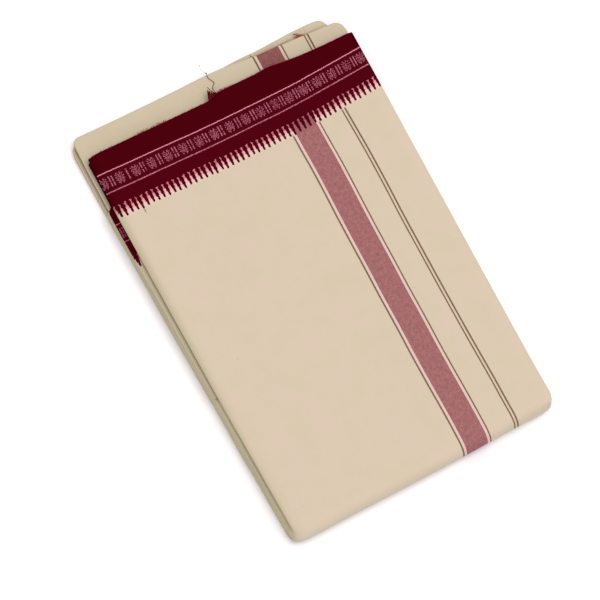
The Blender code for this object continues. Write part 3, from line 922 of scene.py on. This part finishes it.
# Each thread: its radius in mm, its shade (see THREAD_SHADES) and its points in packet mm.
THREADS = (
    (0.24, 0.28, ((101.4, 322.0, 18.3), (103.3, 326.0, 14.5), (103.9, 329.8, 11.3),
     (106.5, 332.8, 11.0), (104.4, 338.0, 11.1), (104.9, 341.8, 10.4))),
    (0.48, 0.15, ((104.6, 340.9, 10.9), (104.9, 341.5, 10.6), (104.7, 342.1, 10.5))),
    (0.10, 0.33, ((104.8, 342.0, 10.4), (103.5, 343.6, 10.6), (102.6, 346.2, 10.9), (103.2, 348.6, 11.0))),
    (0.24, 0.33, ((103.1, 348.3, 11.0), (103.3, 348.8, 11.0), (103.1, 349.2, 11.0))),
    (0.30, 0.30, ((99.5, 329.6, 18.2), (100.2, 326.8, 18.4), (101.6, 323.6, 18.4))),
    (0.66, 0.0, ((96.2, 319.2, 18.0), (97.1, 322.2, 18.3), (99.0, 327.6, 18.3))),
    (0.62, 0.0, ((97.2, 320.0, 18.0), (98.2, 322.6, 18.3), (99.8, 326.4, 18.3))),
    (0.62, 0.0, ((98.6, 320.4, 18.0), (99.4, 322.4, 18.3), (100.6, 324.8, 18.3))),
    (0.66, 0.02, ((99.6, 320.4, 18.0), (100.6, 322.2, 18.3), (102.0, 324.3, 18.3))),
    (0.60, 0.0, ((101.0, 320.6, 18.0), (101.8, 322.2, 18.3), (103.2, 323.6, 18.3))),
    (0.60, 0.05, ((97.2, 319.8, 18.0), (98.4, 321.4, 18.3), (100.4, 322.6, 18.4))),
    (0.20, 0.9, ((99.6, 326.2, 17.4), (101.6, 324.2, 18.2), (103.6, 322.6, 18.1))),
    (0.22, 0.1, ((104.6, 322.5, 17.8), (106.0, 324.2, 16.9), (108.2, 323.9, 17.2), (110.0, 322.9, 17.6))),
    (0.15, 0.3, ((18.6, 270.4, 22.0), (18.2, 267.1, 22.15), (18.1, 263.8, 22.0))),
    (0.22, 0.55, ((172.4, 340.6, 7.6), (174.0, 339.4, 8.4), (175.2, 336.4, 8.8))),
    (0.20, 0.62, ((173.4, 341.4, 7.4), (175.4, 338.4, 8.6), (177.8, 336.8, 8.8))),
    (0.24, 0.50, ((173.6, 336.8, 8.6), (175.8, 337.4, 9.0), (179.6, 335.6, 9.2))),
    (0.22, 0.60, ((174.4, 339.2, 7.8), (175.6, 337.2, 8.8), (174.6, 335.9, 8.9))),
    (0.20, 0.66, ((174.8, 340.6, 7.2), (176.6, 338.8, 8.0), (176.2, 336.2, 8.8))),
    (0.22, 0.56, ((176.2, 338.4, 8.0), (178.0, 337.4, 8.6), (180.4, 336.2, 8.8))),
    (0.20, 0.64, ((171.6, 338.6, 7.8), (174.2, 337.8, 8.6), (177.2, 338.8, 8.0))),
    (0.26, 0.46, ((172.2, 337.2, 8.4), (175.0, 336.6, 9.0), (178.4, 335.8, 9.1))),
    (0.20, 0.32, ((139.2, 341.6, 6.4), (139.3, 340.0, 6.4), (139.8, 338.4, 7.4))),
)
# Loose fibres along the selvedge: from x to x in mm, how many, how long at most, and their shade.
FUZZ = (
    (3, 40, 60, 1.3, 0.66), (40, 63, 60, 2.4, 0.56), (63, 96, 80, 1.1, 0.70), (98, 104, 16, 2.2, 0.02),
    (104, 119, 70, 1.9, 0.60), (119, 165, 90, 1.2, 0.66), (165, 208, 60, 1.0, 0.80),
)
FIBRE_RADIUS = 0.13
# A pale yarn that lies along the selvedge near its right end: from x to x in mm, its radius and its shade.
PALE_YARN = (180, 207)
PALE_YARN_LOOK = (0.30, 0.90)


def selvedge_point(x):
    """The top leaf's upper edge at its selvedge, in packet mm."""
    y = float(table_curve(SELVEDGE, 1, x))
    u = (x - PANEL_LEFT) / PANEL_WIDTH
    return np.array([x, y, MIDDLE + float(leaf_radius(u, y, 0.0))])


def fuzz():
    """Short curled fibres that stand out of the top leaf's selvedge, and a pale yarn along it."""
    source = np.random.default_rng(23)
    lying = [selvedge_point(x) + (0, 0.10 * math.sin(x), -0.15) for x in np.arange(*PALE_YARN, 1.5)]
    threads = [(*PALE_YARN_LOOK, lying)]
    for first, last, count, longest, shade in FUZZ:
        for _ in range(count):
            start = selvedge_point(source.uniform(first, last)) + (0, -0.5, -0.2)
            lean, curl = source.uniform(-1.2, 1.2), source.uniform(-0.9, 0.9)
            length = longest * source.uniform(0.4, 1.0) + 0.4
            middle = start + length / 2 * np.array([math.sin(lean), math.cos(lean), 0.0])
            end = middle + length / 2 * np.array([math.sin(lean + curl), math.cos(lean + curl), -0.3])
            threads.append((FIBRE_RADIUS, shade + 0.1 * source.standard_normal(), (start, middle, end)))
    return threads


def thread(radius, shade, stops, sides=5):
    """Points, faces and tone of a tube on a smooth curve through these stops, thin at its ends."""
    stops = np.array(stops)
    at = np.linspace(0, 1, len(stops))
    fine = np.linspace(0, 1, 6 * (len(stops) - 1) + 1)
    path = np.stack([smooth_curve(at, stops[:, axis], fine) for axis in range(3)], axis=-1)
    along = unit(np.gradient(path, axis=0))
    first = unit(np.cross(along, (0.31, 0.17, 0.93)))
    second = np.cross(along, first)
    taper = radius * np.clip(np.minimum(fine, 1 - fine) * 9, 0.25, 1)[:, None]
    rings = [path + taper * (first * cosine + second * sine) for cosine, sine in around(sides)]
    points = np.stack(rings, axis=1).reshape(-1, 3)
    faces = [face for start in range(0, len(points) - sides, sides) for face in band(sides, start)]
    faces += [range(sides)[::-1], range(len(points) - sides, len(points))]
    return points, faces, shade


# ---- materials


def shown(red, green, blue):
    """The surface colour that shows as this 8-bit colour where it looks up to the light."""
    channels = []
    for value in (red / 255, green / 255, blue / 255):
        linear = value / 12.92 if value <= 0.04045 else ((value + 0.055) / 1.055) ** 2.4
        channels.append(linear / LIGHT_LEVEL)
    return (*channels, 1.0)


class Graph:
    """One material's node tree, with short calls for the nodes it takes."""

    def __init__(self, name):
        self.material = bpy.data.materials.new(name)
        self.material.use_nodes = True
        self.nodes = self.material.node_tree.nodes
        self.shader = self.nodes["Principled BSDF"]

    def new(self, kind, inputs, **settings):
        """A node with its settings, and with values or links for its inputs."""
        node = self.nodes.new("ShaderNode" + kind)
        for name, value in settings.items():
            setattr(node, name, value)
        self.feed(node, inputs)
        return node

    def feed(self, node, inputs):
        for name, value in inputs.items():
            if isinstance(value, bpy.types.NodeSocket):
                self.material.node_tree.links.new(value, node.inputs[name])
            else:
                node.inputs[name].default_value = value

    def math(self, operation, *values, clamp=False):
        return self.new("Math", dict(enumerate(values)), operation=operation, use_clamp=clamp).outputs[0]

    def minus(self, first, second):
        return self.math("SUBTRACT", first, second)

    def times(self, first, second, plus=0.0, clamp=False):
        """first times second, plus a third."""
        return self.math("MULTIPLY_ADD", first, second, plus, clamp=clamp)

    def stray(self, noise, reach, value, clamp=False):
        """A value moved either way by a noise that lies about 0.5."""
        return self.times(self.minus(noise, 0.5), reach, value, clamp)

    def step(self, value, low, high):
        """0 at low, 1 at high, and a straight ramp between. low may be the larger one."""
        return self.new("MapRange", {"Value": value, "From Min": low, "From Max": high}).outputs["Result"]

    def window(self, value, rise, fall):
        """1 from the end of rise to the start of fall, 0 outside them."""
        return self.minus(self.step(value, *rise), self.step(value, *fall))

    def mix(self, factor, first, second, blend="MIX"):
        inputs = {0: factor, 6: first, 7: second}
        return self.new("Mix", inputs, data_type="RGBA", blend_type=blend).outputs[2]

    def tinted(self, colour, tint, where=1.0):
        return self.mix(where, colour, tint, "MULTIPLY")

    def scaled(self, vector, x, y, z=0.0):
        return self.new("VectorMath", {0: vector, 1: (x, y, z)}, operation="MULTIPLY").outputs[0]

    def noise(self, vector, x, y, detail=2.0, roughness=0.5, z=0.0):
        """Noise with x, y and z waves or so in one unit of the vector's parts."""
        inputs = {"Scale": 1.0, "Detail": detail, "Roughness": roughness}
        return self.new("TexNoise", {"Vector": self.scaled(vector, x, y, z), **inputs}).outputs["Fac"]

    def object_noise(self, fine):
        return self.noise(self.new("TexCoord", {}).outputs["Object"], fine, fine, z=fine)

    def attribute(self, name):
        return self.new("Attribute", {}, attribute_name=name).outputs

    def random(self, value):
        return self.new("TexWhiteNoise", {"W": value}, noise_dimensions="1D").outputs["Value"]

    def ramp(self, value, stops, first, last, interpolation="LINEAR"):
        """Colour and alpha of a colour ramp from first to last. stops are (value, colour)."""
        node = self.new("ValToRGB", {0: self.step(value, first, last)})
        node.color_ramp.interpolation = interpolation
        elements = node.color_ramp.elements
        while len(elements) < len(stops):
            elements.new(0.5)
        for element, (at, colour) in zip(elements, stops):
            element.position = (at - first) / (last - first)
            element.color = colour
        return node.outputs[:2]

    def finish(self, colour, height, strength, distance, roughness):
        bump = self.new("Bump", {"Strength": strength, "Distance": distance, "Height": height})
        inputs = {"Normal": bump.outputs[0], "Base Color": colour, "Roughness": roughness}
        self.feed(self.shader, {**inputs, "Specular IOR Level": 0.0})
        return self.material


CREAM_PINK = shown(222, 202, 180)
CREAM_GREEN = shown(218, 202, 176)
DARK_THREAD = shown(118, 96, 76)
LIGHT_GAP = shown(234, 200, 191)
BETWEEN = shown(226, 200, 176)
MAUVE_DEEP = shown(144, 80, 86)
MAUVE_PALE = shown(172, 107, 111)
NO_STRIPE = (0, 0, 0, 0)
GAP_TOP = shown(218, 130, 142)
GAP_MIDDLE = shown(246, 178, 182)
GAP_LOW = shown(240, 200, 190)
GAP_DULL = shown(186, 108, 116)
GAP_ON_MAUVE = shown(168, 96, 108)
MAROON_EDGE = shown(75, 3, 13)
MAROON_FIGURED = shown(84, 8, 21)
MAROON = shown(82, 5, 19)
SPIKE_TIP = shown(56, 20, 14)
# painted shade where the far folds lie in a crevice
CREVICE_SHADE = shown(112, 84, 52)
# painted shade, greener and darker, where the top leaf rolls over at its left side
ROLLED_EDGE_SHADE = (0.80, 0.85, 0.74, 1)
NEAR_FLOOR_LIGHT = (1.03, 1.09, 1.16, 1)  # painted light from the pale floor on the near fold's lower face
UNDER_RIM_SHADE = (0.80, 0.78, 0.68, 1)  # painted shade on the plies' edges just under the top leaf's rim
YARN_SHADES = (shown(150, 58, 82), shown(255, 162, 183))
THREAD_SHADES = (shown(92, 12, 20), shown(120, 58, 30), shown(178, 66, 68), shown(226, 184, 178))
STRIPES_X = (130.0, 185.0)  # the stripes lie between these, in mm across the cloth
MAUVE_X = (138.4, 155.0)
# Where each stripe begins.
STRIPES = (
    (STRIPES_X[0], NO_STRIPE), (135.3, DARK_THREAD), (136.5, LIGHT_GAP), (MAUVE_X[0], MAUVE_DEEP),
    (MAUVE_X[1], LIGHT_GAP), (156.7, DARK_THREAD), (157.9, NO_STRIPE), (175.4, DARK_THREAD),
    (176.6, BETWEEN), (177.9, DARK_THREAD), (179.1, NO_STRIPE),
)
# The pink between the spikes, and the maroon, by t.
GAP_STOPS = (
    (0.0, GAP_TOP), (41.25, GAP_TOP), (42.25, GAP_MIDDLE), (44.25, GAP_MIDDLE), (45.5, GAP_LOW),
    (47.75, (*GAP_LOW[:3], 0.8)), (49.25, (*GAP_LOW[:3], 0.0)),
)
MAROON_STOPS = (
    (0.0, MAROON_EDGE), (10.0, MAROON_EDGE), (15.0, MAROON_FIGURED), (26.0, MAROON_FIGURED),
    (30.0, MAROON), (43.5, MAROON), (46.0, SPIKE_TIP),
)
YARN = 0.40  # distance between neighbouring yarns, in mm
WEAVE_DEPTH = 0.06 * MM


def body_colour(graph, cloth):
    """The unbleached body: soft mottling, uneven yarns and rare dark specks."""
    mottle = graph.step(graph.noise(cloth, 0.06, 0.06, 3.0, 0.55), 0.38, 0.62)
    colour = graph.mix(mottle, CREAM_PINK, CREAM_GREEN)
    wide = graph.noise(cloth, 0.018, 0.015, 1.0)
    weft = graph.noise(cloth, 0.07, 2.4)
    warp = graph.noise(cloth, 2.4, 0.07)
    shade = graph.times(graph.math("ADD", weft, warp), 0.07, 0.93)
    colour = graph.tinted(colour, graph.stray(wide, 0.035, shade, clamp=True))
    cells = graph.new("TexVoronoi", {"Scale": 1.0, "Vector": graph.scaled(cloth, 0.052, 0.052)})
    speck = graph.math("LESS_THAN", cells.outputs["Distance"], 0.018)
    return graph.mix(graph.times(speck, 0.55), colour, DARK_THREAD)


def stripe_colour(graph, cloth, x, body, strength):
    """The body with its stripes, and the mask of the mauve one."""
    ragged = graph.noise(cloth, 1.2, 0.8)
    moved = graph.stray(ragged, 0.35, x)
    colour, mask = graph.ramp(moved, STRIPES, *STRIPES_X, "CONSTANT")
    fleck = graph.step(graph.noise(cloth, 0.42, 0.30, 3.0, 0.62), 0.26, 0.70)
    after = graph.math("GREATER_THAN", moved, MAUVE_X[0])
    mauve = graph.times(after, graph.math("LESS_THAN", moved, MAUVE_X[1]))
    colour = graph.mix(mauve, colour, graph.mix(fleck, MAUVE_DEEP, MAUVE_PALE))
    worn = graph.times(graph.times(ragged, -0.35, 1.1, clamp=True), strength)
    return graph.mix(graph.times(mask, worn), body, colour), mauve


def border_colour(graph, cloth, t, j, body, mauve):
    """The maroon border over the body, with the spikes of its lower edge and the pink between them.

    Each spike stands a little aside and ends a little early or late, and its outline is rough.
    """
    chance = graph.random(graph.math("FLOOR", graph.minus(j, SPIKE_CENTRE - 0.5)))
    rough = graph.noise(cloth, 1.3, 1.3)
    from_spike = graph.math("PINGPONG", graph.minus(j, graph.stray(chance, 0.14, SPIKE_CENTRE)), 0.5)
    from_spike = graph.math("MAXIMUM", graph.stray(rough, 0.22, from_spike), 0.001)
    down = graph.stray(rough, 0.8, graph.stray(chance, 1.1, t))
    steps = [(at, (half, half, half, 1)) for at, half in SPIKE_STEPS]
    half_width, _ = graph.ramp(down, steps, 0.0, BORDER_END, "CONSTANT")
    border = graph.math("LESS_THAN", from_spike, half_width)
    pink, pink_mask = graph.ramp(t, GAP_STOPS, 0.0, BORDER_END)
    gap = graph.random(graph.math("ADD", graph.math("FLOOR", graph.minus(j, SPIKE_CENTRE)), 0.5))
    dull = graph.times(gap, graph.step(t, 45.5, 41.0))
    pink = graph.mix(graph.times(dull, 0.6), pink, GAP_DULL)
    pink = graph.mix(mauve, pink, GAP_ON_MAUVE)
    colour = graph.mix(pink_mask, body, pink)
    red, _ = graph.ramp(t, MAROON_STOPS, 0.0, BORDER_END)
    grain = graph.noise(cloth, 1.6, 3.0, 3.0, 0.7)
    red = graph.mix(graph.times(grain, 0.35), red, MAROON_EDGE)
    return graph.mix(border, colour, red), border


def weave_height(graph, cloth, x, t):
    """Plain weave: yarns that pass over and under one another, some thicker than others."""
    over, under = (graph.math("SINE", graph.times(place, math.pi / YARN)) for place in (x, t))
    return graph.times(graph.times(over, under), 0.5, graph.noise(cloth, 0.5, 2.2))


def cloth_material(name, tint, stripes=1.0, mauve_tint=None, crevice=None, rim=False, slot=False):
    """The woven cloth, with its stripes and border where its coordinates reach them.

    mauve_tint darkens the mauve stripe. crevice is the colour of painted shade on a far fold where its third
    coordinate says that it lies in a crevice. rim is for the top leaf, with painted shade, greener and
    darker, where it rolls over at its left side, and painted light from the pale floor low on the near
    fold's face.
    slot is for the plies' edges, with painted shade just under the top leaf's rim.
    """
    graph = Graph(name)
    cloth = graph.attribute("cloth")["Vector"]
    x, t, j = graph.new("SeparateXYZ", {0: cloth}).outputs
    body = body_colour(graph, cloth)
    striped, mauve = stripe_colour(graph, cloth, x, body, stripes)
    colour, border = border_colour(graph, cloth, t, j, striped, mauve)
    colour = graph.tinted(colour, tint)
    if mauve_tint:
        colour = graph.tinted(colour, mauve_tint, mauve)
    # painted shade on the top leaf's rolled left side, and painted light from the floor low on the near
    # fold's face
    if rim:
        colour = graph.tinted(colour, ROLLED_EDGE_SHADE, graph.step(x, 4.5, 0.0))
        colour = graph.tinted(colour, NEAR_FLOOR_LIGHT, graph.window(t, (314.0, 322.0), (332.0, 340.0)))
    # painted shade on the plies' edges just under the top leaf's rim
    if slot:
        colour = graph.tinted(colour, UNDER_RIM_SHADE, graph.window(x, (14.0, 15.2), (18.2, 19.4)))
    # painted shade where a far fold lies in a crevice
    if crevice:
        colour = graph.mix(graph.times(j, 0.8, clamp=True), colour, crevice)
    height = weave_height(graph, cloth, x, t)
    return graph.finish(colour, height, 0.30, WEAVE_DEPTH, graph.times(border, -0.12, 0.92))


def yarn_material(name, shades, unevenness, spacing):
    """Yarn whose shade follows its tone attribute, 0 for the first and 1 for the last, with fine fibres."""
    graph = Graph(name)
    tone = graph.attribute("tone")["Fac"]
    fibre = graph.object_noise(spacing)
    level = graph.stray(fibre, unevenness, tone, clamp=True)
    stops = list(zip(np.linspace(0, 1, len(shades)), shades))
    return graph.finish(graph.ramp(level, stops, 0.0, 1.0)[0], fibre, 0.4, 0.05 * MM, 0.8)


def make_floor():
    """A pale sheet just under the packet, part of the stage only."""
    graph = Graph("floor")
    grain = graph.object_noise(60.0)
    colour = graph.mix(grain, (0.87, 0.85, 0.86, 1), (0.88, 0.86, 0.87, 1))
    mesh = bpy.data.meshes.new("floor")
    work = bmesh.new()
    bmesh.ops.create_grid(work, x_segments=8, y_segments=8, size=FLOOR_REACH)
    work.to_mesh(mesh)
    work.free()
    mesh.materials.append(graph.finish(colour, grain, 0.05, 0.1 * MM, 0.9))
    floor = placed("floor", mesh)
    floor.location.z = FLOOR_Z


# ---- the scene

FOLD_TINT = (0.93, 0.94, 0.90, 1)

add_camera()
add_light()
make_floor()

top_cotton = cloth_material("cotton_top", (1.0, 1.0, 1.0, 1), rim=True)
# the second leaf's strip is tinted darker all over: painted shade, as it lies in the top leaf's shade
shaded_second_cotton = cloth_material("cotton_second_shaded", (0.80, 0.82, 0.76, 1))
inner_cotton = cloth_material("cotton_inner", FOLD_TINT, mauve_tint=(0.80, 0.74, 0.72, 1), crevice=CREVICE_SHADE)
lower_cotton = cloth_material("cotton_lower", FOLD_TINT, stripes=0.12, crevice=CREVICE_SHADE)
edge_cotton = cloth_material("cotton_edges", (0.94, 1.0, 0.91, 1), slot=True)
pink_yarn = yarn_material("border_yarn", YARN_SHADES, 0.35, 5000.0)
thread_yarn = yarn_material("thread_yarn", THREAD_SHADES, 0.08, 4000.0)

net = front_net()
front = make_leaf("front_shell", net, front_cloth(net), 3, top_cotton)
net = second_net()
second = make_leaf("second_shell", net, second_cloth(net), 50, shaded_second_cotton)
nets = far_fold_nets(INNER, INNER_TOP, INNER_FOLD_RADIUS, INNER_CORNERS)
inner = make_fold("inner_shell", nets, INNER_DRIFT, inner_crevice_shade, 90, inner_cotton)
nets = far_fold_nets(LOWER, 2 * LOWER_FOLD_RADIUS, LOWER_FOLD_RADIUS, LOWER_CORNERS)
lower = make_fold("lower_shell", nets, LOWER_DRIFT, lower_crevice_shade, 95, lower_cotton)
edges = cloth_object("ply_edges", hidden_nets(), edge_cotton)
figures = make_figures(pink_yarn)
threads = yarn_object("loose_threads", [thread(*given) for given in (*THREADS, *fuzz())], thread_yarn)

for piece, node in (
    (front, "front_leaf"),
    (second, "second_leaf"),
    (inner, "inner_leaf"),
    (lower, "lower_leaf"),
    (edges, "hidden_layers"),
):
    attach(piece, "root")
    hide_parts(node)
for piece in (figures, threads):
    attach(piece, "root")
